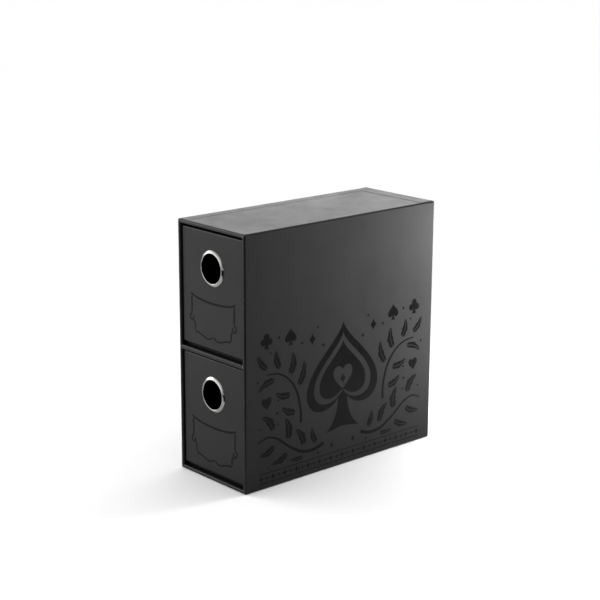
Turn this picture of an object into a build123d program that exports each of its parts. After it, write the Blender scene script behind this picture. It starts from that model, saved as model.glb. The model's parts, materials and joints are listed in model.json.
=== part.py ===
"""Rigid cardboard storage box for playing cards, with two drawers one above the other.

The box is a slipcase of greyboard panels covered in thin paper. It stands on its narrow base with its open side
towards -Y, and a shelf splits it into two compartments. A drawer slides in each. A drawer is a greyboard tray with its
own paper cover and lining, and a separate covered facing glued on its front. A metal finger ring goes through the
facing and the tray's front wall, and is clinched over a flat ring inside.

Frame: +Z up, +Y to the back, +X to the right of someone who looks at the drawer fronts. The origin is the middle of
the base. Millimetres.
"""

import os

from build123d import *

os.makedirs("parts", exist_ok=True)

# ---------------------------------------------------------------- driving dimensions
WIDTH = 83.0  # outside, X
DEPTH = 208.0  # outside, Y
HEIGHT = 210.0  # outside, Z
PAPER = 0.2  # covering and lining paper
BOARD = 2.8  # greyboard of the case
WALL = BOARD + 2 * PAPER  # a case wall with its cover and lining
SHELF_BOTTOM = 102.9
SHELF_TOP = 106.6
CASE_EDGE = 1.2  # rounding of the covered case edges
TURN_IN = 15.0  # cover folded into the mouth of the case
LEFT_FLAP = 10.5  # left sheet folded on to the top and the underside
BACK_FLAP = 15.0  # back sheet folded on to its neighbours
BASE_INSET = 8.0  # base sheet, in from each edge
SEAM = 0.15  # gap where two sheets of paper meet

RECESS = 1.6  # facings behind the front edges of the case
RUNNING = 0.1  # drawer above the surface it slides on
BACK_GAP = 0.5  # shut drawer to the lining behind it
FACING_WIDTH = 75.0
FACING_HEIGHT = 94.9
FACING = 2.4  # thickness of a covered facing
FACING_LIFT = 3.3  # lower edge of the facing above the underside of the tray
FACING_EDGE = 1.0  # rounding round the front of the facing
FACING_FOLD = 12.0  # facing's cover folded on to its back
TRAY_WIDTH = 74.6
TRAY_HEIGHT = 98.0
TRAY_WALL = 2.4  # a tray wall with its cover and lining
TRAY_EDGE = 0.8  # rounding of the tray's edges and rim
TRAY_FOLD = 12.0  # tray's cover folded down over the rim
TRAY_BASE_INSET = 6.0  # sheet under the tray, in from each edge

RING_BELOW_TOP = 28.8  # ring's centre below the top of the facing
RING_OUTER = 15.0  # radius of the flange
RING_INNER = 12.0  # radius of the finger hole
RING_PROUD = 1.2  # flange in front of the facing
RING_SHEET = 0.5  # sheet metal
RING_CURL = 0.7  # inside radius of the clinched edge
CLINCH = 14.3  # radius of the clinched edge
PUNCHED = 12.75  # radius of the hole punched in the boards
BACKING = 0.6  # thickness of the flat ring inside

# ---------------------------------------------------------------- derived levels
FRONT = -DEPTH / 2
BACK = DEPTH / 2
CASE_BASE = PAPER  # the base sheet is glued under the folded cover
FLOOR = CASE_BASE + WALL  # lower compartment
CEILING = HEIGHT - WALL  # upper compartment
ROOM_X = WIDTH / 2 - WALL  # half the inside width
BOARD_X = ROOM_X + PAPER  # inner face of the side boards
BOARD_Y = BACK - WALL + PAPER  # inner face of the back board
MID_X = WIDTH / 2 - WALL / 2  # middle of the side boards
MID_Y = BACK - WALL / 2
LINING_Y = FRONT + TURN_IN  # the lining starts where the folded cover ends
FACE_Y = FRONT + RECESS  # front of both facings
TRAY_Y0 = FACE_Y + FACING
TRAY_Y1 = BACK - WALL - BACK_GAP
FAR = 300.0  # outside everything


def block(x, y, z, mode=Mode.INTERSECT):
    """Cuts the part in hand to an upright block between two corners, or takes the block away from it."""
    with BuildSketch(Plane.XY.offset(z[0])) as outline:
        with Locations(((x[0] + x[1]) / 2, (y[0] + y[1]) / 2)):
            Rectangle(x[1] - x[0], y[1] - y[0])
    extrude(outline.sketch, amount=z[1] - z[0], mode=mode)


# ================================================================ case
def case_form(grow):
    """The case in one piece: grow 0 gives its bare boards, grow PAPER the same with cover and lining."""
    skin = PAPER - grow
    y0 = FRONT + skin
    with BuildPart() as form:
        with BuildSketch(Plane.XY.offset(CASE_BASE + skin)):
            Rectangle(WIDTH - 2 * skin, DEPTH - 2 * skin)
        extrude(amount=HEIGHT - CASE_BASE - 2 * skin)
        fillet(form.edges(), radius=CASE_EDGE - skin)
        with BuildSketch(Plane.XZ.offset(-y0)):
            for low, high in ((FLOOR, SHELF_BOTTOM), (SHELF_TOP, CEILING)):
                with Locations((0, (low + high) / 2)):
                    Rectangle(2 * (ROOM_X + skin), high - low + 2 * skin)
        extrude(amount=-(DEPTH - WALL), mode=Mode.SUBTRACT)
        mouth = form.faces().filter_by(Axis.Y).sort_by(Axis.Y)[0]
        fillet([edge for rim in mouth.inner_wires() for edge in rim.edges()], radius=CASE_EDGE - skin)
    return form.part


boards = case_form(0)
with BuildPart() as papers:
    add(case_form(PAPER))
    add(boards, mode=Mode.SUBTRACT)

# ---------------------------------------------------------------- boards of the case
with BuildPart() as case_left_board:
    add(boards)
    split(bisect_by=Plane.YZ.offset(-BOARD_X), keep=Keep.BOTTOM)
case_left_board.part.label = "case_left_board"
export_step(case_left_board.part, "parts/case_left_board.step")

with BuildPart() as case_right_board:
    add(boards)
    split(bisect_by=Plane.YZ.offset(BOARD_X), keep=Keep.TOP)
case_right_board.part.label = "case_right_board"
export_step(case_right_board.part, "parts/case_right_board.step")

with BuildPart() as case_back_board:
    add(boards)
    block((-BOARD_X, BOARD_X), (BOARD_Y, FAR), (-FAR, FAR))
case_back_board.part.label = "case_back_board"
export_step(case_back_board.part, "parts/case_back_board.step")

with BuildPart() as case_top_board:
    add(boards)
    block((-BOARD_X, BOARD_X), (-FAR, BOARD_Y), (CEILING + PAPER, FAR))
case_top_board.part.label = "case_top_board"
export_step(case_top_board.part, "parts/case_top_board.step")

with BuildPart() as case_bottom_board:
    add(boards)
    block((-BOARD_X, BOARD_X), (-FAR, BOARD_Y), (-FAR, FLOOR - PAPER))
case_bottom_board.part.label = "case_bottom_board"
export_step(case_bottom_board.part, "parts/case_bottom_board.step")

with BuildPart() as shelf_board:
    add(boards)
    block((-BOARD_X, BOARD_X), (-FAR, BOARD_Y), (SHELF_BOTTOM - 20, SHELF_TOP + 20))
shelf_board.part.label = "shelf_board"
export_step(shelf_board.part, "parts/shelf_board.step")

# ---------------------------------------------------------------- linings, one to a compartment
shelf_mid = (SHELF_BOTTOM + SHELF_TOP) / 2

with BuildPart() as upper_compartment_lining:
    add(papers.part)
    block((-MID_X, MID_X), (LINING_Y, MID_Y), (shelf_mid, HEIGHT - WALL / 2))
upper_compartment_lining.part.label = "upper_compartment_lining"
export_step(upper_compartment_lining.part, "parts/upper_compartment_lining.step")

with BuildPart() as lower_compartment_lining:
    add(papers.part)
    block((-MID_X, MID_X), (LINING_Y, MID_Y), (CASE_BASE + WALL / 2, shelf_mid))
lower_compartment_lining.part.label = "lower_compartment_lining"
export_step(lower_compartment_lining.part, "parts/lower_compartment_lining.step")

# ---------------------------------------------------------------- cover of the case, in four pieces
with BuildPart() as cover:
    add(papers.part)
    block(
        (-MID_X, MID_X),
        (LINING_Y - SEAM, MID_Y),
        (CASE_BASE + WALL / 2, HEIGHT - WALL / 2),
        Mode.SUBTRACT,
    )

# A strip is folded round the front edge of the shelf.
strip = ((-ROOM_X, ROOM_X), (FRONT - 5, LINING_Y + 5), (SHELF_BOTTOM - 3, SHELF_TOP + 3))
with BuildPart() as shelf_edge_strip:
    add(cover.part)
    block(*strip)
shelf_edge_strip.part.label = "shelf_edge_strip"
export_step(shelf_edge_strip.part, "parts/shelf_edge_strip.step")

# The left sheet covers the left side and is folded on to the top, the back and the underside.
flap_x = -WIDTH / 2 + LEFT_FLAP
with BuildPart() as case_left_sheet:
    add(cover.part)
    block(*strip, Mode.SUBTRACT)
    block((-FAR, flap_x), (-FAR, BACK - 2), (-FAR, FAR))
case_left_sheet.part.label = "case_left_sheet"
export_step(case_left_sheet.part, "parts/case_left_sheet.step")

# The back sheet covers the back and is folded on to the top and the underside.
back_x, back_y = WIDTH / 2 - 2, BACK - BACK_FLAP
with BuildPart() as case_back_sheet:
    add(cover.part)
    block((-FAR, flap_x + SEAM), (-FAR, BACK - 2 + SEAM), (-FAR, FAR), Mode.SUBTRACT)
    block((-FAR, back_x), (back_y, FAR), (-FAR, FAR))
case_back_sheet.part.label = "case_back_sheet"
export_step(case_back_sheet.part, "parts/case_back_sheet.step")

# The main sheet has the rest: the right side, most of the top and underside, and its folds round the mouth.
with BuildPart() as case_main_sheet:
    add(cover.part)
    block(*strip, Mode.SUBTRACT)
    block((-FAR, flap_x + SEAM), (-FAR, BACK - 2 + SEAM), (-FAR, FAR), Mode.SUBTRACT)
    block((-FAR, back_x + SEAM), (back_y - SEAM, FAR), (-FAR, FAR), Mode.SUBTRACT)
case_main_sheet.part.label = "case_main_sheet"
export_step(case_main_sheet.part, "parts/case_main_sheet.step")

# The base sheet is glued over the folds, and the box stands on it.
with BuildPart() as case_base_sheet:
    with BuildSketch(Plane.XY):
        Rectangle(WIDTH - 2 * BASE_INSET, DEPTH - 2 * BASE_INSET)
    extrude(amount=PAPER)
case_base_sheet.part.label = "case_base_sheet"
export_step(case_base_sheet.part, "parts/case_base_sheet.step")


# ================================================================ drawers
def tray_form(grow, base):
    """A tray in one piece: grow 0 gives its bare boards, grow PAPER the same with cover and lining."""
    skin = PAPER - grow
    hollow = TRAY_WALL - skin
    with BuildPart() as form:
        with BuildSketch(Plane.XY.offset(base + skin)):
            with Locations((0, (TRAY_Y0 + TRAY_Y1) / 2)):
                Rectangle(TRAY_WIDTH - 2 * skin, TRAY_Y1 - TRAY_Y0 - 2 * skin)
        extrude(amount=TRAY_HEIGHT - 2 * skin)
        fillet(form.edges(), radius=TRAY_EDGE - skin)
        with BuildSketch(Plane.XY.offset(base + TRAY_HEIGHT - skin)):
            with Locations((0, (TRAY_Y0 + TRAY_Y1) / 2)):
                Rectangle(TRAY_WIDTH - 2 * hollow, TRAY_Y1 - TRAY_Y0 - 2 * hollow)
        extrude(amount=-(TRAY_HEIGHT - TRAY_WALL), mode=Mode.SUBTRACT)
        rim = form.faces().filter_by(Axis.Z).sort_by(Axis.Z)[-1]
        fillet([edge for wire in rim.inner_wires() for edge in wire.edges()], radius=TRAY_EDGE - skin)
    return form.part


def facing_form(grow, base):
    """A facing in one piece: grow 0 gives its bare board, grow PAPER the same with its cover."""
    skin = PAPER - grow
    low = base + FACING_LIFT
    with BuildPart() as form:
        with BuildSketch(Plane.XZ.offset(-(FACE_Y + skin))):
            with Locations((0, low + FACING_HEIGHT / 2)):
                Rectangle(FACING_WIDTH - 2 * skin, FACING_HEIGHT - 2 * skin)
        extrude(amount=-(FACING - 2 * skin))
        fillet(form.edges().filter_by(Axis.Y), radius=FACING_EDGE - skin)
        front = form.faces().filter_by(Axis.Y).sort_by(Axis.Y)[0]
        fillet(front.edges(), radius=FACING_EDGE - skin)
        back = form.faces().filter_by(Axis.Y).sort_by(Axis.Y)[-1]
        fillet(back.edges(), radius=0.5 - skin)
    return form.part


def make_drawer(name, base):
    """Writes every piece of one drawer. base is the level of the tray's underside."""
    low = base + FACING_LIFT
    ring_z = low + FACING_HEIGHT - RING_BELOW_TOP

    with BuildPart() as hole:
        with BuildSketch(Plane.XZ.offset(-(FACE_Y - 5))):
            with Locations((0, ring_z)):
                Circle(PUNCHED)
        extrude(amount=-(FACING + TRAY_WALL + 10))

    # ------------------------------------------------------------ facing
    bare_facing = facing_form(0, base)
    with BuildPart() as facing_board:
        add(bare_facing)
        add(hole.part, mode=Mode.SUBTRACT)
    facing_board.part.label = f"{name}_facing_board"
    export_step(facing_board.part, f"parts/{name}_facing_board.step")

    edge_x = FACING_WIDTH / 2 - FACING_FOLD
    with BuildPart() as facing_sheet:
        add(facing_form(PAPER, base))
        add(bare_facing, mode=Mode.SUBTRACT)
        add(hole.part, mode=Mode.SUBTRACT)
        block(
            (-edge_x, edge_x),
            (FACE_Y + FACING / 2, FACE_Y + FACING + 1),
            (low + FACING_FOLD, low + FACING_HEIGHT - FACING_FOLD),
            Mode.SUBTRACT,
        )
    facing_sheet.part.label = f"{name}_facing_sheet"
    export_step(facing_sheet.part, f"parts/{name}_facing_sheet.step")

    # ------------------------------------------------------------ boards of the tray
    bare_tray = tray_form(0, base)
    x = TRAY_WIDTH / 2 - TRAY_WALL + PAPER
    y0, y1 = TRAY_Y0 + TRAY_WALL - PAPER, TRAY_Y1 - TRAY_WALL + PAPER
    with BuildPart() as tray_left_board:
        add(bare_tray)
        split(bisect_by=Plane.YZ.offset(-x), keep=Keep.BOTTOM)
    tray_left_board.part.label = f"{name}_tray_left_board"
    export_step(tray_left_board.part, f"parts/{name}_tray_left_board.step")

    with BuildPart() as tray_right_board:
        add(bare_tray)
        split(bisect_by=Plane.YZ.offset(x), keep=Keep.TOP)
    tray_right_board.part.label = f"{name}_tray_right_board"
    export_step(tray_right_board.part, f"parts/{name}_tray_right_board.step")

    with BuildPart() as tray_front_board:
        add(bare_tray)
        add(hole.part, mode=Mode.SUBTRACT)
        block((-x, x), (-FAR, y0), (-FAR, FAR))
    tray_front_board.part.label = f"{name}_tray_front_board"
    export_step(tray_front_board.part, f"parts/{name}_tray_front_board.step")

    with BuildPart() as tray_back_board:
        add(bare_tray)
        block((-x, x), (y1, FAR), (-FAR, FAR))
    tray_back_board.part.label = f"{name}_tray_back_board"
    export_step(tray_back_board.part, f"parts/{name}_tray_back_board.step")

    with BuildPart() as tray_bottom_board:
        add(bare_tray)
        block((-x, x), (y0, y1), (-FAR, base + TRAY_WALL - PAPER))
    tray_bottom_board.part.label = f"{name}_tray_bottom_board"
    export_step(tray_bottom_board.part, f"parts/{name}_tray_bottom_board.step")

    # ------------------------------------------------------------ papers of the tray
    with BuildPart() as skin:
        add(tray_form(PAPER, base))
        add(bare_tray, mode=Mode.SUBTRACT)
        add(hole.part, mode=Mode.SUBTRACT)
    half = TRAY_WALL / 2
    inside_x = (-TRAY_WIDTH / 2 + half, TRAY_WIDTH / 2 - half)
    inside_y = (TRAY_Y0 + half, TRAY_Y1 - half)
    fold_z = base + TRAY_HEIGHT - TRAY_FOLD
    with BuildPart() as tray_lining:
        add(skin.part)
        block(inside_x, inside_y, (base + half, fold_z - SEAM))
    tray_lining.part.label = f"{name}_tray_lining"
    export_step(tray_lining.part, f"parts/{name}_tray_lining.step")

    under_x = TRAY_WIDTH / 2 - TRAY_BASE_INSET
    under_y = (TRAY_Y0 + TRAY_BASE_INSET, TRAY_Y1 - TRAY_BASE_INSET)
    with BuildPart() as tray_base_sheet:
        add(skin.part)
        block((-under_x, under_x), under_y, (base - 1, base + half))
    tray_base_sheet.part.label = f"{name}_tray_base_sheet"
    export_step(tray_base_sheet.part, f"parts/{name}_tray_base_sheet.step")

    with BuildPart() as tray_sheet:
        add(skin.part)
        block(inside_x, inside_y, (base + half, fold_z), Mode.SUBTRACT)
        block(
            (-under_x - SEAM, under_x + SEAM),
            (under_y[0] - SEAM, under_y[1] + SEAM),
            (base - 1, base + half),
            Mode.SUBTRACT,
        )
    tray_sheet.part.label = f"{name}_tray_sheet"
    export_step(tray_sheet.part, f"parts/{name}_tray_sheet.step")

    # ------------------------------------------------------------ finger ring
    # One profile turned round the hole: a half-round flange, a sleeve through both boards, and a clinched edge.
    lining_y = FACING + TRAY_WALL  # inner surface of the tray, behind the facing's front
    clinch_y = lining_y + BACKING
    flange_r = (RING_OUTER + RING_INNER) / 2
    flange_w = (RING_OUTER - RING_INNER) / 2
    sleeve_r = RING_INNER + RING_SHEET
    curl_r = sleeve_r + RING_CURL
    curl_y = clinch_y - RING_CURL
    with BuildPart() as finger_ring:
        with BuildSketch(Plane(origin=(0, FACE_Y, ring_z), x_dir=(1, 0, 0), z_dir=(0, 0, 1))):
            with BuildLine():
                EllipticalCenterArc(
                    (flange_r, 0),
                    flange_w,
                    RING_PROUD,
                    start_angle=180,
                    arc_size=180,
                )
                Line((RING_OUTER, 0), (RING_OUTER - RING_SHEET, 0))
                EllipticalCenterArc(
                    (flange_r, 0),
                    flange_w - RING_SHEET,
                    RING_PROUD - RING_SHEET,
                    start_angle=180,
                    arc_size=180,
                )
                Line((sleeve_r, 0), (sleeve_r, curl_y))
                CenterArc((curl_r, curl_y), RING_CURL, 90, 90)
                Polyline(
                    (curl_r, clinch_y),
                    (CLINCH, clinch_y),
                    (CLINCH, clinch_y + RING_SHEET),
                    (curl_r, clinch_y + RING_SHEET),
                )
                CenterArc((curl_r, curl_y), RING_CURL + RING_SHEET, 90, 90)
                Line((RING_INNER, curl_y), (RING_INNER, 0))
            make_face()
        revolve(axis=Axis((0, 0, ring_z), (0, 1, 0)))
    finger_ring.part.label = f"{name}_finger_ring"
    export_step(finger_ring.part, f"parts/{name}_finger_ring.step")

    with BuildPart() as ring_backing:
        with BuildSketch(Plane.XZ.offset(-(FACE_Y + lining_y))):
            with Locations((0, ring_z)):
                Circle(RING_OUTER)
                Circle(curl_r + 0.1, mode=Mode.SUBTRACT)
        extrude(amount=-BACKING)
    ring_backing.part.label = f"{name}_ring_backing"
    export_step(ring_backing.part, f"parts/{name}_ring_backing.step")


make_drawer("upper", SHELF_TOP + RUNNING)
make_drawer("lower", FLOOR + RUNNING)
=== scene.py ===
import json
import math

import bmesh
import bpy
import numpy as np
from mathutils import Matrix, Vector, geometry


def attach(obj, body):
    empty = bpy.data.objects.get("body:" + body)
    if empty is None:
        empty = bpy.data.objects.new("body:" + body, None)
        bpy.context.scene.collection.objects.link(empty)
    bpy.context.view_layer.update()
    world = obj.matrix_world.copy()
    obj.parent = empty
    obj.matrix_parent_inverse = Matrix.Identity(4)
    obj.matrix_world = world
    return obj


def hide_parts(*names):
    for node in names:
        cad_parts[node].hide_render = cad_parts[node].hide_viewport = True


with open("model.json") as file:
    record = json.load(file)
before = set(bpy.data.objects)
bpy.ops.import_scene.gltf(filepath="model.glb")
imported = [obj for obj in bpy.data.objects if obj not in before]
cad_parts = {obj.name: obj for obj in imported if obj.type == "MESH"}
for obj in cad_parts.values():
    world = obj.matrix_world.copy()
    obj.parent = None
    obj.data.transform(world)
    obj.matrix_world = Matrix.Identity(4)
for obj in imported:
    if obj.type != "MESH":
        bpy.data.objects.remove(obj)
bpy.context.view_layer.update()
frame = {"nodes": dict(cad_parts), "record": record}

MM = 0.001
nodes = frame["nodes"]


# ================================================================ material graphs
class Graph:
    """A material or world node tree, with short ways to add and join nodes."""

    def __init__(self, tree):
        self.tree = tree
        tree.nodes.clear()

    def add(self, kind, **inputs):
        node = self.tree.nodes.new(kind)
        for key, value in inputs.items():
            if key in ("operation", "data_type", "blend_type", "noise_dimensions", "feature", "interpolation_type",
                       "attribute_name", "distance", "gradient_type"):
                setattr(node, key, value)
        return node

    def link(self, a, b):
        self.tree.links.new(a, b)

    def math(self, operation, a, b=None, c=None, clamp=False):
        node = self.tree.nodes.new("ShaderNodeMath")
        node.operation = operation
        node.use_clamp = clamp
        for socket, value in zip(node.inputs, (a, b, c)):
            if value is None:
                continue
            if isinstance(value, (int, float)):
                socket.default_value = value
            else:
                self.link(value, socket)
        return node.outputs[0]

    def noise(self, vector, scale, detail=2.0, rough=0.5, distortion=0.0):
        node = self.tree.nodes.new("ShaderNodeTexNoise")
        node.inputs["Scale"].default_value = scale
        node.inputs["Detail"].default_value = detail
        node.inputs["Roughness"].default_value = rough
        node.inputs["Distortion"].default_value = distortion
        self.link(vector, node.inputs["Vector"])
        return node.outputs[0]

    def span(self, value, low, high, to_low, to_high, smooth=False):
        node = self.tree.nodes.new("ShaderNodeMapRange")
        node.interpolation_type = "SMOOTHSTEP" if smooth else "LINEAR"
        for i, v in enumerate((low, high, to_low, to_high)):
            node.inputs[i + 1].default_value = v
        self.link(value, node.inputs[0])
        return node.outputs[0]

    def mix(self, factor, a, b):
        node = self.tree.nodes.new("ShaderNodeMix")
        node.data_type = "RGBA"
        for socket, value in ((node.inputs[0], factor), (node.inputs[6], a), (node.inputs[7], b)):
            if isinstance(value, (int, float)):
                socket.default_value = value
            elif isinstance(value, tuple):
                socket.default_value = (*value, 1.0) if len(value) == 3 else value
            else:
                self.link(value, socket)
        return node.outputs[2]

    def bump(self, height, distance, strength=1.0, normal=None):
        node = self.tree.nodes.new("ShaderNodeBump")
        node.inputs["Strength"].default_value = strength
        node.inputs["Distance"].default_value = distance
        self.link(height, node.inputs["Height"])
        if normal is not None:
            self.link(normal, node.inputs["Normal"])
        return node.outputs[0]


def new_material(name):
    m = bpy.data.materials.new(name)
    m.use_nodes = True
    g = Graph(m.node_tree)
    out = g.add("ShaderNodeOutputMaterial")
    shader = g.add("ShaderNodeBsdfPrincipled")
    g.link(shader.outputs[0], out.inputs[0])
    where = g.add("ShaderNodeTexCoord").outputs["Object"]
    return m, g, shader, where


def paper(name, tone, rough, level, wave=0.00009, grain=0.000010, wear=0.0):
    """Black covering paper: a fine fibre grain, soft waves from the board and glue under it, faint tone changes."""
    m, g, s, where = new_material(name)
    cloud = g.noise(where, 38.0, 3.0, 0.55)
    fleck = g.noise(where, 900.0, 2.0, 0.6)
    dark = tuple(c * 0.82 for c in tone)
    light = tuple(c * 1.22 for c in tone)
    colour = g.mix(g.span(cloud, 0.3, 0.7, 0.0, 1.0), dark, light)
    colour = g.mix(g.span(fleck, 0.62, 0.78, 0.0, 0.35), colour, tuple(c * 2.0 for c in tone))
    if wear:
        edge = g.add("ShaderNodeAttribute", attribute_name="edge").outputs["Fac"]
        scuff = g.span(g.noise(where, 420.0, 4.0, 0.7), 0.52, 0.72, 0.0, 1.0)
        colour = g.mix(g.math("MULTIPLY", g.math("MULTIPLY", edge, scuff), wear), colour, tuple(c * 6.0 for c in tone))
    g.link(colour, s.inputs["Base Color"])
    rub = g.noise(where, 70.0, 4.0, 0.6)
    r = g.math("ADD", g.span(rub, 0.25, 0.75, rough - 0.03, rough + 0.03), g.span(fleck, 0.3, 0.7, -0.02, 0.02))
    r = g.math("ADD", r, g.span(g.noise(where, 17.0, 3.0, 0.6, 0.8), 0.3, 0.7, -0.03, 0.03))
    g.link(r, s.inputs["Roughness"])
    s.inputs["Specular IOR Level"].default_value = level
    n = g.bump(g.noise(where, 22.0, 2.0, 0.45), wave)
    n = g.bump(g.noise(where, 1500.0, 3.0, 0.6), grain, 0.8, n)
    g.link(n, s.inputs["Normal"])
    return m


PAPER_TONE = (0.0048, 0.0048, 0.0050)
cover_paper = paper("cover_paper", PAPER_TONE, 0.40, 0.17, wear=0.6)
# Darker, more matte paper on the trays: painted shade for the gaps round the facings.
tray_paper_painted_shade = paper("tray_paper_painted_shade", (0.0028, 0.0028, 0.0029), 0.50, 0.055, grain=0.000016)
lining_paper = paper("lining_paper", (0.012, 0.012, 0.0125), 0.62, 0.25, grain=0.000016)


def greyboard():
    m, g, s, where = new_material("greyboard")
    fibre = g.noise(where, 700.0, 5.0, 0.65, 0.6)
    speck = g.noise(where, 1800.0, 2.0, 0.5)
    colour = g.mix(g.span(fibre, 0.3, 0.7, 0.0, 1.0), (0.19, 0.17, 0.15), (0.34, 0.31, 0.27))
    colour = g.mix(g.span(speck, 0.66, 0.74, 0.0, 0.7), colour, (0.07, 0.06, 0.06))
    g.link(colour, s.inputs["Base Color"])
    g.link(g.span(fibre, 0.3, 0.7, 0.82, 0.95), s.inputs["Roughness"])
    s.inputs["Specular IOR Level"].default_value = 0.3
    g.link(g.bump(fibre, 0.00006, 0.8), s.inputs["Normal"])
    return m


def metal(name, tone, rough, scratch):
    """Plated sheet steel: bright, with faint rubbed patches and fine scratches round the ring."""
    m, g, s, where = new_material(name)
    patch = g.noise(where, 160.0, 4.0, 0.6)
    fine = g.noise(where, 2600.0, 2.0, 0.6)
    colour = g.mix(g.span(patch, 0.3, 0.7, 0.0, 1.0), tuple(c * 0.93 for c in tone), tone)
    g.link(colour, s.inputs["Base Color"])
    s.inputs["Metallic"].default_value = 1.0
    g.link(g.math("ADD", g.span(patch, 0.3, 0.75, rough * 0.8, rough * 1.3), g.span(fine, 0.55, 0.8, 0.0, scratch)),
           s.inputs["Roughness"])
    g.link(g.bump(fine, 0.000003, 0.7), s.inputs["Normal"])
    return m


board_material = greyboard()
ring_metal = metal("ring_metal", (0.295, 0.289, 0.28), 0.12, 0.05)
backing_metal = metal("backing_metal", (0.60, 0.60, 0.59), 0.30, 0.10)


def gloss_print():
    """Clear gloss varnish over black: smooth, with the faint ripple of a thick printed film."""
    m, g, s, where = new_material("gloss_print")
    film = g.noise(where, 240.0, 2.0, 0.5)
    colour = g.mix(g.span(film, 0.3, 0.7, 0.0, 1.0), (0.0036, 0.0036, 0.0038), (0.0053, 0.0053, 0.0056))
    g.link(colour, s.inputs["Base Color"])
    g.link(g.span(g.noise(where, 90.0, 3.0, 0.6), 0.3, 0.7, 0.15, 0.22), s.inputs["Roughness"])
    s.inputs["Specular IOR Level"].default_value = 0.05
    g.link(g.bump(film, 0.000006, 0.6), s.inputs["Normal"])
    return m


gloss = gloss_print()


def dress(obj, material):
    obj.data.materials.clear()
    obj.data.materials.append(material)


SLOT_LOOK = {
    "cover_paper": cover_paper,
    "lining_paper": lining_paper,
    "greyboard": board_material,
    "finger_ring": ring_metal,
    "ring_backing": backing_metal,
}
for sub in frame["record"]["subparts"]:
    dress(nodes[sub["node"]], SLOT_LOOK[sub["material_slot"]])
# The trays are covered in a deeper, fully matte black: painted shade, so the gaps round the facings stay dark as if in
# shadow.
for drawer in ("upper", "lower"):
    dress(nodes[f"{drawer}_tray_sheet"], tray_paper_painted_shade)


# ================================================================ mesh helpers
def piece(name, points, faces, material, body, edge=None, smooth=True):
    """A closed mesh piece, in millimetres, that rides on a body."""
    mesh = bpy.data.meshes.new(name)
    mesh.from_pydata((np.asarray(points, float) * MM).tolist(), [], [list(map(int, f)) for f in faces])
    mesh.update()
    if smooth:
        mesh.shade_smooth()
        mesh.set_sharp_from_angle(angle=math.radians(32))
    if edge is not None:
        mesh.attributes.new("edge", "FLOAT", "POINT").data.foreach_set("value", np.asarray(edge, np.float32))
    obj = bpy.data.objects.new(name, mesh)
    bpy.context.scene.collection.objects.link(obj)
    dress(obj, material)
    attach(obj, body)
    return obj


def weld(quads):
    """Points and quads from an array of quads by their corners; corners at the same place become one point."""
    corners = np.asarray(quads, float).reshape(-1, 3)
    keys, first, index = np.unique(np.round(corners, 4), axis=0, return_index=True, return_inverse=True)
    return corners[first], index.reshape(-1, 4)


def normals(points, quads):
    p = points[quads]
    face = np.cross(p[:, 2] - p[:, 0], p[:, 3] - p[:, 1])
    out = np.zeros_like(points)
    for k in range(4):
        np.add.at(out, quads[:, k], face)
    return out / np.maximum(np.linalg.norm(out, axis=1, keepdims=True), 1e-12)


def thicken(points, quads, thickness):
    """Gives an open skin a thickness inwards, and closes it round its borders."""
    inner = points - normals(points, quads) * thickness
    count = len(points)
    faces = [tuple(q) for q in quads] + [tuple(q[::-1] + count) for q in quads]
    edges = {}
    for q in quads:
        for a, b in zip(q, np.roll(q, -1)):
            edges[(int(a), int(b))] = True
    for a, b in edges:
        if (b, a) not in edges:
            faces.append((b, a, a + count, b + count))
    return np.vstack([points, inner]), faces


waves = np.random.default_rng(7)
WAVES = [(waves.normal(size=3) * k, waves.uniform(0, 2 * math.pi), a)
         for k, a, n in ((0.06, 0.5, 5), (0.16, 0.35, 6), (0.42, 0.25, 6)) for _ in range(n)]


def wobble(points):
    """A smooth irregular field, about -1 to 1, for handmade unevenness."""
    return sum(a * np.sin(points @ k + f) for k, f, a in WAVES) / 2.2


# ================================================================ the case's covering paper
X0, X1, Y0, Y1, Z0, Z1 = -41.5, 41.5, -104.0, 104.0, 0.2, 210.0
LOW, HIGH = np.array([X0, Y0, Z0]), np.array([X1, Y1, Z1])
EDGE_R = 1.2  # round the mouths
OUTER_R = 1.42  # the outside edges, softened by use and the paper over them
SHEET = 0.2
FLAP_X, FLAP_Y = -31.0, 89.0
RIM_X = 39.5
RIMS = ((2.2, 104.1), (105.4, 208.0))
TURN_IN_END = -89.15


def samples(low, high, marks, step):
    """Places along one side of a rounded box: close together over its roundings, with all the marks among them."""
    t = [OUTER_R * (1 - math.tan(math.radians(11.25 * k))) for k in range(4, 0, -1)]
    stops = sorted([low + OUTER_R, low + OUTER_R + 0.15, *marks, high - OUTER_R - 0.15, high - OUTER_R])
    out = [low + v for v in t]
    for a, b in zip(stops, stops[1:]):
        out.extend(np.linspace(a, b, max(1, math.ceil((b - a) / step)) + 1)[:-1])
    out.append(stops[-1])
    out.extend(high - v for v in t[::-1])
    return np.array(out)


xs = samples(X0, X1, (-RIM_X, -38.3, -32.2, FLAP_X, 38.3, RIM_X), 5.0)
ys = samples(Y0, Y1, (-102.0, -99.0, 87.8, FLAP_Y, 99.0, 101.5), 5.0)
zs = samples(Z0, Z1, (RIMS[0][0], 99.9, RIMS[0][1], RIMS[1][0], 109.6, RIMS[1][1], 4.5), 5.0)


def grid(a, b, place, flip):
    """Quads over two rows of coordinates."""
    u, v = np.meshgrid(a, b, indexing="ij")
    p = place(u, v)
    q = np.stack([p[:-1, :-1], p[1:, :-1], p[1:, 1:], p[:-1, 1:]], axis=2).reshape(-1, 4, 3)
    return q[:, ::-1] if flip else q


def full(u, value):
    return np.full_like(u, value)


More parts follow.
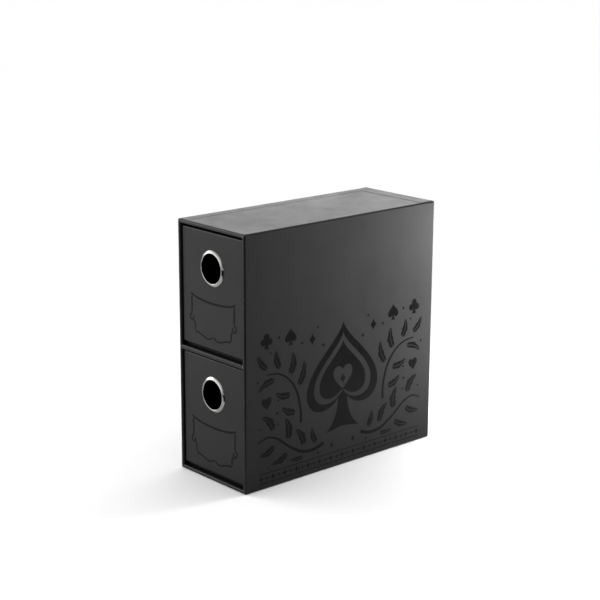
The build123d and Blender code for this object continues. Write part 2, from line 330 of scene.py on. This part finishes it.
skin = [
    grid(ys, zs, lambda u, v: np.stack([full(u, X1), u, v], -1), False),
    grid(ys, zs, lambda u, v: np.stack([full(u, X0), u, v], -1), True),
    grid(xs, ys, lambda u, v: np.stack([u, v, full(u, Z1)], -1), False),
    grid(xs, ys, lambda u, v: np.stack([u, v, full(u, Z0)], -1), True),
    grid(xs, zs, lambda u, v: np.stack([u, full(u, Y1), v], -1), True),
]
front = grid(xs, zs, lambda u, v: np.stack([u, full(u, Y0), v], -1), False)
middle = front.mean(axis=1)
hole = np.zeros(len(front), bool)
for z_low, z_high in RIMS:
    hole |= (abs(middle[:, 0]) < RIM_X) & (middle[:, 2] > z_low) & (middle[:, 2] < z_high)
skin.append(front[~hole])
sharp = np.concatenate(skin)
nearest = np.clip(sharp, LOW + OUTER_R, HIGH - OUTER_R)
away = sharp - nearest
rounded = nearest + OUTER_R * away / np.linalg.norm(away, axis=-1, keepdims=True)

# The rims of the two mouths: the paper turns in round a quarter circle and runs 15 mm into the mouth.
STEPS = [(EDGE_R * math.sin(math.radians(a)), Y0 + EDGE_R * (1 - math.cos(math.radians(a)))) for a in
         (0, 18, 36, 54, 72, 90)] + [(EDGE_R, y) for y in (-102.6, -100.0, -96.0, -92.5, TURN_IN_END)]
mouths = []
for z_low, z_high in RIMS:
    rx = xs[(xs >= -RIM_X - 1e-6) & (xs <= RIM_X + 1e-6)]
    rz = zs[(zs >= z_low - 1e-6) & (zs <= z_high + 1e-6)]
    loop = [(x, z_low) for x in rx[:-1]] + [(RIM_X, z) for z in rz[:-1]]
    loop += [(x, z_high) for x in rx[:0:-1]] + [(-RIM_X, z) for z in rz[:0:-1]]
    loop = np.array(loop)
    mid, half = (z_low + z_high) / 2, (z_high - z_low) / 2
    rings = []
    for inset, y in STEPS:
        x = loop[:, 0] * (RIM_X - inset) / RIM_X
        z = mid + (loop[:, 1] - mid) * (half - inset) / half
        rings.append(np.stack([x, np.full_like(x, y), z], -1))
    for a, b in zip(rings, rings[1:]):
        mouths.append(np.stack([a, np.roll(a, -1, 0), np.roll(b, -1, 0), b], axis=1))
quads = np.concatenate([rounded, *mouths])
outside = np.concatenate([sharp, *mouths])
middle = outside.mean(axis=1)
on_strip = (abs(middle[:, 0]) < 38.3) & (middle[:, 2] > 101.5) & (middle[:, 2] < 108.0) & (middle[:, 1] < -80)
on_left = ~on_strip & (middle[:, 0] < FLAP_X) & (middle[:, 1] < 101.5)
on_back = ~on_strip & (((middle[:, 1] > FLAP_Y) & (middle[:, 0] < 39.5) & ~on_left) | ((middle[:, 1] > 101.5) & (middle[:, 0] < 0)))
on_main = (~on_strip & ~on_left & ~on_back)


def ramp(value, low, high):
    t = np.clip((value - low) / (high - low), 0, 1)
    return t * t * (3 - 2 * t)


def cover_piece(name, part, replaced, lift=None):
    chosen = quads[part]
    points, index = weld(chosen)
    # how near each point is to an edge of the box or of a mouth
    gaps = np.sort(np.concatenate([abs(points - LOW), abs(HIGH - points)], axis=1), axis=1)
    rim = np.full(len(points), 99.0)
    for z_low, z_high in RIMS:
        dx = abs(points[:, 0]) - (RIM_X - 0.6)
        dz = np.maximum(z_low + 0.6 - points[:, 2], points[:, 2] - z_high + 0.6)
        rim = np.minimum(rim, np.hypot(np.hypot(np.maximum(dx, dz), 0.0), np.maximum(points[:, 1] + 103.4, 0) * 0.8))
    near = np.minimum(gaps[:, 1], rim)
    edge = np.clip(1.25 - near / 1.4, 0, 1)
    n = normals(points, index)
    shift = wobble(points) * 0.045 * np.exp(-np.maximum(near - 0.6, 0) / 3.5)
    # folded paper is a little thicker at the corners of the box
    to_corner = np.sqrt((gaps[:, :3] ** 2).sum(axis=1))
    shift = shift + 0.10 * np.exp(-(to_corner / 4.5) ** 2) * (0.6 + 0.4 * wobble(points * 3.1))
    inside = points[:, 1] > -102.7
    in_mouth = inside & (abs(points[:, 0]) < 38.6) & (points[:, 2] > 3.0) & (points[:, 2] < 207.2) & (points[:, 1] < -80)
    shift = np.where(in_mouth, 0.0, shift)
    if lift is not None:
        shift = shift + lift(points)
    points, faces = thicken(points + n * shift[:, None], index, SHEET)
    obj = piece(name, points, faces, cover_paper, "case", np.concatenate([edge, edge * 0]))
    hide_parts(*replaced)
    return obj


def left_lift(p):
    """The left sheet's flap lies on the main sheet, on the top of the box."""
    return 0.10 * ramp(p[:, 2], 209.2, 209.95) * ramp(p[:, 0], -41.2, -39.6) * ramp(p[:, 1], -103.6, -101.4)


def back_lift(p):
    return 0.16 * ramp(p[:, 2], 209.2, 209.95) * ramp(p[:, 1], 104.0, 102.2)


def strip_lift(p):
    return 0.14 * ramp(p[:, 1], -102.9, -103.8)


cover_piece("case_main_cover", on_main, ("case_main_sheet",))
cover_piece("case_left_cover", on_left, ("case_left_sheet",), left_lift)
cover_piece("case_back_cover", on_back, ("case_back_sheet",), back_lift)
cover_piece("shelf_edge_cover", on_strip, ("shelf_edge_strip",), strip_lift)


# ================================================================ prints
def print_mesh(name, shapes, place, body, proud=0.05, sunk=0.04):
    """A gloss print as one mesh of thin closed prisms. Each shape is an outline with its holes, in mm on a plane."""
    points, faces = [], []
    for shape in shapes:
        loops = [np.asarray(loop, float) for loop in shape]
        for k, loop in enumerate(loops):
            area2 = (loop[:, 0] * np.roll(loop[:, 1], -1) - np.roll(loop[:, 0], -1) * loop[:, 1]).sum()
            if (area2 < 0) == (k == 0):
                loops[k] = loop[::-1]
        flat = np.concatenate(loops)
        tris = geometry.tessellate_polygon([[Vector((u, v, 0)) for u, v in loop] for loop in loops])
        start, count = len(points), len(flat)
        points.extend(place(u, v, proud) for u, v in flat)
        points.extend(place(u, v, -sunk) for u, v in flat)
        for a, b, c in tris:
            pa, pb, pc = flat[a], flat[b], flat[c]
            turn = (pb[0] - pa[0]) * (pc[1] - pa[1]) - (pb[1] - pa[1]) * (pc[0] - pa[0])
            if abs(turn) < 1e-9:
                continue
            if turn < 0:
                b, c = c, b
            faces.append((start + a, start + b, start + c))
            faces.append((start + count + c, start + count + b, start + count + a))
        at = 0
        for loop in loops:
            m = len(loop)
            for i in range(m):
                a, b = start + at + i, start + at + (i + 1) % m
                faces.append((b, a, a + count, b + count))
            at += m
    obj = piece(name, points, faces, gloss, body, smooth=False)
    return obj


def bezier(p0, p1, p2, p3, n=12):
    t = np.linspace(0, 1, n, endpoint=False)[:, None]
    p0, p1, p2, p3 = map(np.array, (p0, p1, p2, p3))
    return (1 - t) ** 3 * p0 + 3 * (1 - t) ** 2 * t * p1 + 3 * (1 - t) * t * t * p2 + t ** 3 * p3


def mirrored(half):
    """A whole outline from its right half, which runs from the top of the middle line to the bottom of it."""
    half = np.asarray(half, float)
    other = half[::-1].copy()
    other[:, 0] *= -1
    keep = np.abs(other[:, 0]) > 1e-6
    return np.concatenate([half, other[keep]])


SPADE = mirrored(np.concatenate([
    bezier((0, 0.5), (0.05, 0.33), (0.43, 0.14), (0.43, -0.11), 18),
    bezier((0.43, -0.11), (0.43, -0.30), (0.19, -0.35), (0.055, -0.20), 12),
    bezier((0.055, -0.20), (0.06, -0.33), (0.10, -0.43), (0.20, -0.5), 8),
    np.array([(0.20, -0.5), (0.0, -0.47)]),
]))
HEART = mirrored(np.concatenate([
    bezier((0, 0.26), (0.06, 0.47), (0.46, 0.50), (0.46, 0.17), 14),
    bezier((0.46, 0.17), (0.46, -0.09), (0.13, -0.27), (0, -0.5), 14),
    np.array([(0.0, -0.5)]),
]))
DIAMOND = mirrored(np.concatenate([
    bezier((0, 0.5), (0.07, 0.27), (0.20, 0.09), (0.36, 0), 8),
    bezier((0.36, 0), (0.20, -0.09), (0.07, -0.27), (0, -0.5), 8),
    np.array([(0.0, -0.5)]),
]))


def club_outline():
    angles = np.radians(np.arange(90, -271, -4.0))[:-1]
    out = []
    for a in angles:
        d = np.array([math.cos(a), math.sin(a)])
        best = 0.05
        for r in np.linspace(0.02, 0.75, 220):
            p = d * r
            inside = min(math.hypot(p[0] - cx, p[1] - cy) for cx, cy in ((0, 0.26), (-0.25, -0.06), (0.25, -0.06))) < 0.215
            stem = -0.5 < p[1] < 0.0 and abs(p[0]) < 0.035 + 0.16 * max(0.0, (-p[1] - 0.2) / 0.3) ** 2
            if inside or stem or r < 0.12:
                best = r
        out.append(d * best)
    return np.array(out)


CLUB = club_outline()


def put(outline, u, v, size, turn=0.0):
    c, s = math.cos(math.radians(turn)), math.sin(math.radians(turn))
    return np.asarray(outline) @ np.array([[c, s], [-s, c]]) * size + (u, v)


def disc(u, v, r, n=20):
    a = np.linspace(0, 2 * math.pi, n, endpoint=False)
    return np.stack([u + r * np.cos(a), v + r * np.sin(a)], -1)


def smooth_line(points, n=10, closed=False):
    """A smooth line through points (Catmull-Rom)."""
    p = np.asarray(points, float)
    p = np.concatenate([[2 * p[0] - p[1]], p, [2 * p[-1] - p[-2]]])
    out = []
    for a, b, c, d in zip(p, p[1:], p[2:], p[3:]):
        for t in np.linspace(0, 1, n, endpoint=False):
            out.append(0.5 * (2 * b + (c - a) * t + (2 * a - 5 * b + 4 * c - d) * t * t + (3 * b - 3 * c + d - a) * t ** 3))
    out.append(p[-2])
    return np.array(out)


def stroke(line, width):
    """The outline of a brush stroke along a line; width is one number or one for each point."""
    line = np.asarray(line, float)
    width = np.broadcast_to(width, (len(line),))
    along = np.gradient(line, axis=0)
    along /= np.maximum(np.linalg.norm(along, axis=1, keepdims=True), 1e-9)
    side = np.stack([-along[:, 1], along[:, 0]], -1) * width[:, None] / 2
    return np.concatenate([line + side, (line - side)[::-1]])


def leaf(base, tip, belly, bend=0.18, lobes=3, gap=0.55):
    """A pointed leaf in two halves with a bare rib between them, and a lobed outer edge."""
    base, tip = np.array(base, float), np.array(tip, float)
    axis = tip - base
    length = np.linalg.norm(axis)
    axis /= length
    side = np.array([-axis[1], axis[0]])
    t = np.linspace(0, 1, 40)
    spine = base + np.outer(t, axis) * length + np.outer(np.sin(t * math.pi) * bend * length, side)
    run = np.gradient(spine, axis=0)
    run /= np.linalg.norm(run, axis=1, keepdims=True)
    out = np.stack([-run[:, 1], run[:, 0]], -1)
    swell = np.sin(np.clip(t, 0, 1) ** 0.8 * math.pi) ** 0.8 * (1 - 0.3 * t)
    saw = 1 - 0.30 * (1 - np.abs(np.sin(lobes * math.pi * t + 0.15))) * np.sin(t * math.pi)
    shapes = []
    for s, share in ((1, 1.0), (-1, 0.8)):
        outer = spine + out * (s * (gap / 2 + belly * share * swell * saw))[:, None]
        inner = spine + out * (s * gap / 2 * np.minimum(1, 6 * (1 - t) + 0.2))[:, None]
        shapes.append([np.concatenate([inner[2:-1], outer[2:-1][::-1]])])
    return shapes


SPADE_BODY = mirrored(np.concatenate([
    bezier((0, 0.5), (0.05, 0.33), (0.43, 0.14), (0.43, -0.11), 18),
    bezier((0.43, -0.11), (0.43, -0.30), (0.17, -0.36), (0.0, -0.17), 14),
    np.array([(0.0, -0.17)]),
]))


def side_ornament():
    """Card suits among leaf sprays, the same on both sides of a large spade, above a border of small diamonds."""
    shapes = []
    # the large spade: a rim, then a smaller spade inside it with a cut-out heart
    shapes.append([put(SPADE, 0, 78, 92), put(SPADE_BODY, 0, 78, 74)])
    shapes.append([put(SPADE_BODY, 0, 78, 60), put(HEART, 0, 77, 23)])
    shapes.append([put(DIAMOND, 0, 75.5, 9)])
    for side in (1, -1):
        m = np.array([side, 1.0])

        def both(shape):
            shapes.append([np.asarray(loop) * m for loop in shape])

        low = smooth_line([(21, 24.5), (31, 21.5), (44, 22.5), (58, 30), (70, 39), (81, 43), (91, 40)], 8)
        both([stroke(low, np.linspace(3.0, 1.1, len(low)))])
        high = smooth_line([(46, 48), (46.5, 60), (50.5, 75), (59, 87), (70, 93.5), (82, 95)], 8)
        both([stroke(high, np.linspace(2.6, 1.0, len(high)))])
        for base, tip, belly, bend in (
            ((29, 26.5), (34, 40.5), 3.4, -0.10), ((43, 27.5), (51.5, 43), 4.2, 0.12), ((43.5, 18.0), (58, 18.4), 2.0, -0.06),
            ((60, 25.5), (77, 19.5), 3.2, -0.12), ((60, 36.5), (63, 55), 4.6, 0.14), ((73.5, 34.5), (90, 29), 3.4, -0.12),
            ((75.5, 47.0), (87, 61), 4.2, 0.14), ((51.5, 58), (66, 65), 3.8, -0.14), ((49.0, 79.5), (42.5, 99), 4.0, 0.10),
            ((56.5, 74), (73, 78), 3.8, -0.14), ((58, 90.5), (55, 108.5), 4.2, 0.12), ((68, 97.5), (72, 113), 3.8, -0.12),
            ((73.5, 89), (90, 82), 3.4, 0.12), ((81, 99.5), (91, 112), 3.4, -0.12),
        ):
            for shape in leaf(base, tip, belly, bend):
                both(shape)
        both([put(HEART, 82, 71.5, 11, 6 * side)])
        both([put(CLUB, 82, 122.5, 13)])
        both([put(SPADE, 57, 121.5, 14)])
        both([put(DIAMOND, 34, 115, 10)])
        both([put(DIAMOND, 12, 20.5, 5.5)])
        for u, v, r in ((22, 108, 1.3), (28, 124, 1.0), (45, 114, 1.1), (69, 123, 1.1), (78, 112, 0.9), (71, 61, 1.2),
                        (70, 51.5, 0.9), (88.5, 51, 0.9), (70, 71.5, 0.9), (27, 17.3, 1.0), (91, 90.5, 1.0)):
            both([disc(u, v, r)])
    for k in range(-14, 15):
        shapes.append([put(DIAMOND, k * 6.3, 9.3, 5.2 if k % 2 == 0 else 3.4)])
    for k in range(-14, 14):
        shapes.append([disc((k + 0.5) * 6.3, 9.3, 0.6, 12)])
    for v in (5.2, 13.4):
        shapes.append([np.array([(-90.5, v - 0.28), (90.5, v - 0.28), (90.5, v + 0.28), (-90.5, v + 0.28)])])
    return shapes


print_mesh("side_ornament", side_ornament(), lambda u, v, h: (X1 + h, u, v), "case")


def label_frame():
    """A scroll label's outline, with its top corners at height 0."""
    shapes = []
    top = smooth_line([(-27.9, 0.9), (-24, -0.7), (-14, -2.5), (0, -3.3), (14, -2.5), (24, -0.7), (27.9, 0.9)], 8)
    shapes.append([stroke(top, 1.8)])
    for side in (1, -1):
        m = np.array([side, 1.0])

        def both(line, width):
            shapes.append([stroke(np.asarray(line) * m, width)])

        both(smooth_line([(26.6, -1.5), (26.6, -6), (26.5, -11), (26.5, -14.4)], 5), 1.9)
        curl = smooth_line([(26.6, -14.8), (27.5, -16.2), (28.7, -17.7), (28.5, -19.8), (26.9, -20.9), (25.0, -20.4),
                            (24.3, -18.9), (25.1, -17.7)], 7)
        both(curl, np.linspace(1.5, 1.4, len(curl)))
        hook = smooth_line([(24.6, -21.6), (23.4, -22.3), (22.7, -23.8), (22.5, -26.5), (22.6, -28.8)], 7)
        both(hook, np.linspace(1.7, 1.5, len(hook)))
        brace = smooth_line([(22.3, -29.9), (19, -30.1), (14, -31.3), (9, -32.8), (5.5, -33.1), (2.6, -31.9), (0.55, -30.7)], 7)
        both(brace, np.linspace(1.5, 1.2, len(brace)))
    return shapes


FACING_FRONT = -102.4
for drawer, corner_z in (("upper", 151.0), ("lower", 48.2)):
    print_mesh(f"{drawer}_label_frame", label_frame(),
               lambda u, v, h, c=corner_z: (u + 0.4, FACING_FRONT - h, c + v), f"{drawer}_drawer")


# ================================================================ painted highlights on the folds in the mouth's corners
def fold_highlight_paint():
    """Pale rough paint for the folds: a painted highlight standing in for the glint where the paper turns round a sharp
    fold.
    """
    m, g, s, where = new_material("fold_highlight_paint")
    fibre = g.noise(where, 1400.0, 3.0, 0.6)
    # the pale grey is a painted highlight, not the paper's own colour
    g.link(g.mix(g.span(fibre, 0.3, 0.7, 0.0, 1.0), (0.05, 0.05, 0.05), (0.17, 0.167, 0.163)), s.inputs["Base Color"])
    s.inputs["Roughness"].default_value = 0.8
    s.inputs["Specular IOR Level"].default_value = 0.2
    g.link(g.bump(fibre, 0.00003, 0.8), s.inputs["Normal"])
    return m


painted_fold_highlight = fold_highlight_paint()


def rim_front(x, z):
    """The surface of the case's front edges, at a place seen from the front."""
    d = max(0.0, abs(x) - (X1 - OUTER_R))
    e = max(0.0, z - (Z1 - OUTER_R), Z0 + OUTER_R - z)
    y = Y0 + OUTER_R - math.sqrt(OUTER_R ** 2 - min(d * d + e * e, 0.96 * OUTER_R ** 2))
    for z_low, z_high in RIMS:
        inset = min(RIM_X - abs(x), z - z_low, z_high - z)
        if inset > 0:
            inset = min(inset, 0.95 * EDGE_R)
            y = Y0 + EDGE_R - math.sqrt(EDGE_R ** 2 - inset * inset)
    return y


# thin pale strips along the mitred folds at the mouth's right-hand corners: painted highlights
FOLD_HIGHLIGHTS = {
    "top": ([(40.9, 209.4), (40.2, 208.7), (39.5, 208.0), (38.9, 207.35), (38.65, 206.4), (38.6, 205.2)], 0.55),
    "shelf": ([(38.85, 102.3), (38.8, 103.4), (38.78, 104.75), (38.8, 106.0), (38.85, 107.3)], 0.5),
    "bottom": ([(38.75, 4.6), (38.95, 3.3), (39.5, 2.3), (40.2, 1.5)], 0.45),
}
for key, (path, width) in FOLD_HIGHLIGHTS.items():
    line = smooth_line(path, 6)
    share = np.sin(np.linspace(0.12, 0.92, len(line)) * math.pi)
    obj = print_mesh(f"fold_{key}", [[stroke(line, width * share)]], lambda u, v, h: (u, rim_front(u, v) - h, v), "case", 0.12, 0.08)
    dress(obj, painted_fold_highlight)


# ================================================================ finger rings
def finger_ring(name, height, body):
    """A pressed metal ring: a rolled lip round the hole, a domed flange, a sleeve, and a clinched edge behind."""
    # radius, and height in front of the facing
    outer = [(12.0, -4.6), (12.0, -2.8), (12.0, 0.3)]
    outer += [(12.45 - 0.45 * math.cos(math.radians(a)), 0.65 + 0.55 * math.sin(math.radians(a))) for a in range(15, 106, 15)]
    outer += [(12.72, 1.16), (12.90, 1.10), (13.10, 1.00), (13.34, 0.86), (13.60, 0.69), (13.86, 0.51), (14.12, 0.32),
              (14.36, 0.14), (14.50, 0.02)]
    inner = [(14.0, 0.0), (13.5, 0.28), (13.0, 0.48), (12.7, 0.40), (12.5, 0.1), (12.5, -1.8), (12.5, -4.4)]
    back_inner = [(12.62, -5.05), (12.95, -5.38), (13.35, -5.40), (13.7, -5.15), (13.85, -4.9)]
    back_outer = [(14.25, -5.05), (13.95, -5.55), (13.45, -5.88), (12.85, -5.88), (12.35, -5.55), (12.08, -5.1)]
    profile = outer + inner + back_inner + back_outer
    count, turns = len(profile), 144
    points = []
    for k in range(turns):
        a = 2 * math.pi * k / turns
        for r, out in profile:
            points.append((r * math.cos(a), FACING_FRONT - out, height + r * math.sin(a)))
    faces = []
    for k in range(turns):
        n = (k + 1) % turns
        for i in range(count):
            j = (i + 1) % count
            faces.append((k * count + i, k * count + j, n * count + j, n * count + i))
    points = np.array(points)
    # signed volume: turn the faces over if they point inwards
    f = np.array(faces)
    c = points[f]
    if np.einsum("ij,ij->i", np.cross(c[:, 1] - c[:, 0], c[:, 2] - c[:, 0]), c[:, 0] - points.mean(0)).sum() < 0:
        faces = [q[::-1] for q in faces]
    obj = piece(name, points, faces, ring_metal, body)
    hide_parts(f"{body.split('_')[0]}_finger_ring")
    return obj


finger_ring("upper_ring", 176.1, "upper_drawer")
finger_ring("lower_ring", 72.9, "lower_drawer")


# ================================================================ stage
def floor_material():
    """A white floor: matte, with the faintest cloudiness."""
    m, g, s, where = new_material("floor_paint")
    g.link(g.mix(g.noise(where, 1.3, 1.0, 0.4), (0.940, 0.940, 0.940), (0.955, 0.955, 0.955)), s.inputs["Base Color"])
    s.inputs["Roughness"].default_value = 0.95
    s.inputs["Specular IOR Level"].default_value = 0.0
    return m


bm = bmesh.new()
bmesh.ops.create_grid(bm, x_segments=8, y_segments=8, size=20.0)
mesh = bpy.data.meshes.new("floor")
bm.to_mesh(mesh)
bm.free()
floor = bpy.data.objects.new("floor", mesh)
bpy.context.scene.collection.objects.link(floor)
dress(floor, floor_material())

def black_flag():
    """A black card low in front of the box, seen only in its reflections: it keeps the front corner dark."""
    m, g, s, where = new_material("flag_black")
    g.link(g.mix(g.noise(where, 20.0, 2.0, 0.5), (0.004, 0.004, 0.004), (0.008, 0.008, 0.008)), s.inputs["Base Color"])
    s.inputs["Roughness"].default_value = 1.0
    s.inputs["Specular IOR Level"].default_value = 0.0
    points, faces = [], []
    radii, angles = np.linspace(0.22, 1.5, 9), np.radians(np.linspace(12, 92, 19))
    for r in radii:
        for k, a in enumerate(angles):
            a = a - (1 - k / 18) * math.radians(15) * min(1.0, max(0.0, (r - 0.38) / 0.2))
            points.append((r * math.sin(a), -r * math.cos(a), 0.002))
    n = len(angles)
    for i in range(len(radii) - 1):
        for j in range(n - 1):
            faces.append((i * n + j, i * n + j + 1, (i + 1) * n + j + 1, (i + 1) * n + j))
    mesh = bpy.data.meshes.new("black_flag")
    mesh.from_pydata(points, [], faces)
    flag = bpy.data.objects.new("black_flag", mesh)
    bpy.context.scene.collection.objects.link(flag)
    dress(flag, m)
    for ray in ("camera", "diffuse", "transmission", "volume_scatter", "shadow"):
        setattr(flag, f"visible_{ray}", False)


black_flag()

# The world is a large soft studio: a bright ceiling, and a belt of walls round the box, dimmer on the camera's side.
world = bpy.data.worlds.new("studio")
world.use_nodes = True
bpy.context.scene.world = world
w = Graph(world.node_tree)
w_out = w.add("ShaderNodeOutputWorld")
direction = w.add("ShaderNodeTexCoord").outputs["Generated"]
split = w.add("ShaderNodeSeparateXYZ")
w.link(direction, split.inputs[0])
up = split.outputs["Z"]


def towards(azimuth, elevation):
    """Cosine of the angle between the looked-at direction and this one."""
    a, e = math.radians(azimuth), math.radians(elevation)
    dot = w.add("ShaderNodeVectorMath", operation="DOT_PRODUCT")
    w.link(direction, dot.inputs[0])
    dot.inputs[1].default_value = (math.sin(a) * math.cos(e), -math.cos(a) * math.cos(e), math.sin(e))
    return dot.outputs["Value"]


# Brightness of the ceiling, and of the belt of walls by azimuth.
WORLD = {"ceiling": 0.85, 48: 0.0, 93: 0.0, 138: 0.0, 183: 2.4, 228: 1.07, 273: 0.40, 318: 3.3, 3: 0.0}
ceiling = w.span(up, 0.30, 0.75, 0.0, 1.0, True)
belt = w.math("SUBTRACT", 1.0, ceiling)
total = None
for key, strength in WORLD.items():
    mask = ceiling if key == "ceiling" else w.math("MULTIPLY", belt, w.span(towards(key, 0), 0.35, 1.0, 0.0, 1.0, True))
    part = w.math("MULTIPLY", mask, strength)
    part.node.name = f"world_{key}"
    total = part if total is None else w.math("ADD", total, part)
background = w.add("ShaderNodeBackground")
grey = w.add("ShaderNodeCombineColor")
for i in range(3):
    w.link(total, grey.inputs[i])
w.link(grey.outputs[0], background.inputs["Color"])
background.inputs["Strength"].default_value = 1.0
w.link(background.outputs[0], w_out.inputs[0])


def softbox(name, place, aim, size, power):
    """A soft rectangular light at a place, turned to a point. The camera doesn't see it."""
    data = bpy.data.lights.new(name, "AREA")
    data.shape = "RECTANGLE"
    data.size, data.size_y = size
    data.energy = power
    light = bpy.data.objects.new(name, data)
    bpy.context.scene.collection.objects.link(light)
    light.location = place
    light.rotation_euler = (Vector(place) - Vector(aim)).to_track_quat("Z", "Y").to_euler()
    light.visible_camera = False
    return light


softbox("front_softbox", (-0.634, -0.400, 0.30), (0.0, -0.104, 0.12), (0.35, 0.30), 1.52)
softbox("strip_low", (0.12, 0.262, 0.05), (0.0415, 0.09, 0.05), (0.08, 0.10), 0.21)
softbox("strip_high", (0.12, 0.262, 0.15), (0.0415, 0.09, 0.12), (0.08, 0.10), 0.47)
softbox("side_softbox", (0.20, 0.42, 0.15), (0.0415, 0.09, 0.12), (0.14, 0.30), 0.62)


# ================================================================ camera
def aim_camera():
    az, el, roll = math.radians(48.23672), math.radians(14.75564), math.radians(0.26509)
    target = Vector((-0.011672, 0.0, 0.131010))
    back = Vector((math.sin(az) * math.cos(el), -math.cos(az) * math.cos(el), math.sin(el)))
    right = (-back).cross(Vector((0, 0, 1))).normalized()
    upward = right.cross(-back)
    x_axis = right * math.cos(roll) + upward * math.sin(roll)
    y_axis = -right * math.sin(roll) + upward * math.cos(roll)
    data = bpy.data.cameras.new("camera")
    data.sensor_fit = "HORIZONTAL"
    data.sensor_width = 36.0
    data.lens = 1520.9441 / 600 * 36.0
    data.clip_start, data.clip_end = 0.05, 60.0
    camera = bpy.data.objects.new("camera", data)
    bpy.context.scene.collection.objects.link(camera)
    place = Matrix((x_axis, y_axis, back)).transposed().to_4x4()
    place.translation = target + back * 1.270036
    camera.matrix_world = place
    bpy.context.scene.camera = camera


aim_camera()
scene = bpy.context.scene
scene.view_settings.view_transform = "Standard"
scene.view_settings.look = "None"
scene.view_settings.exposure = 0.0
scene.view_settings.gamma = 1.0
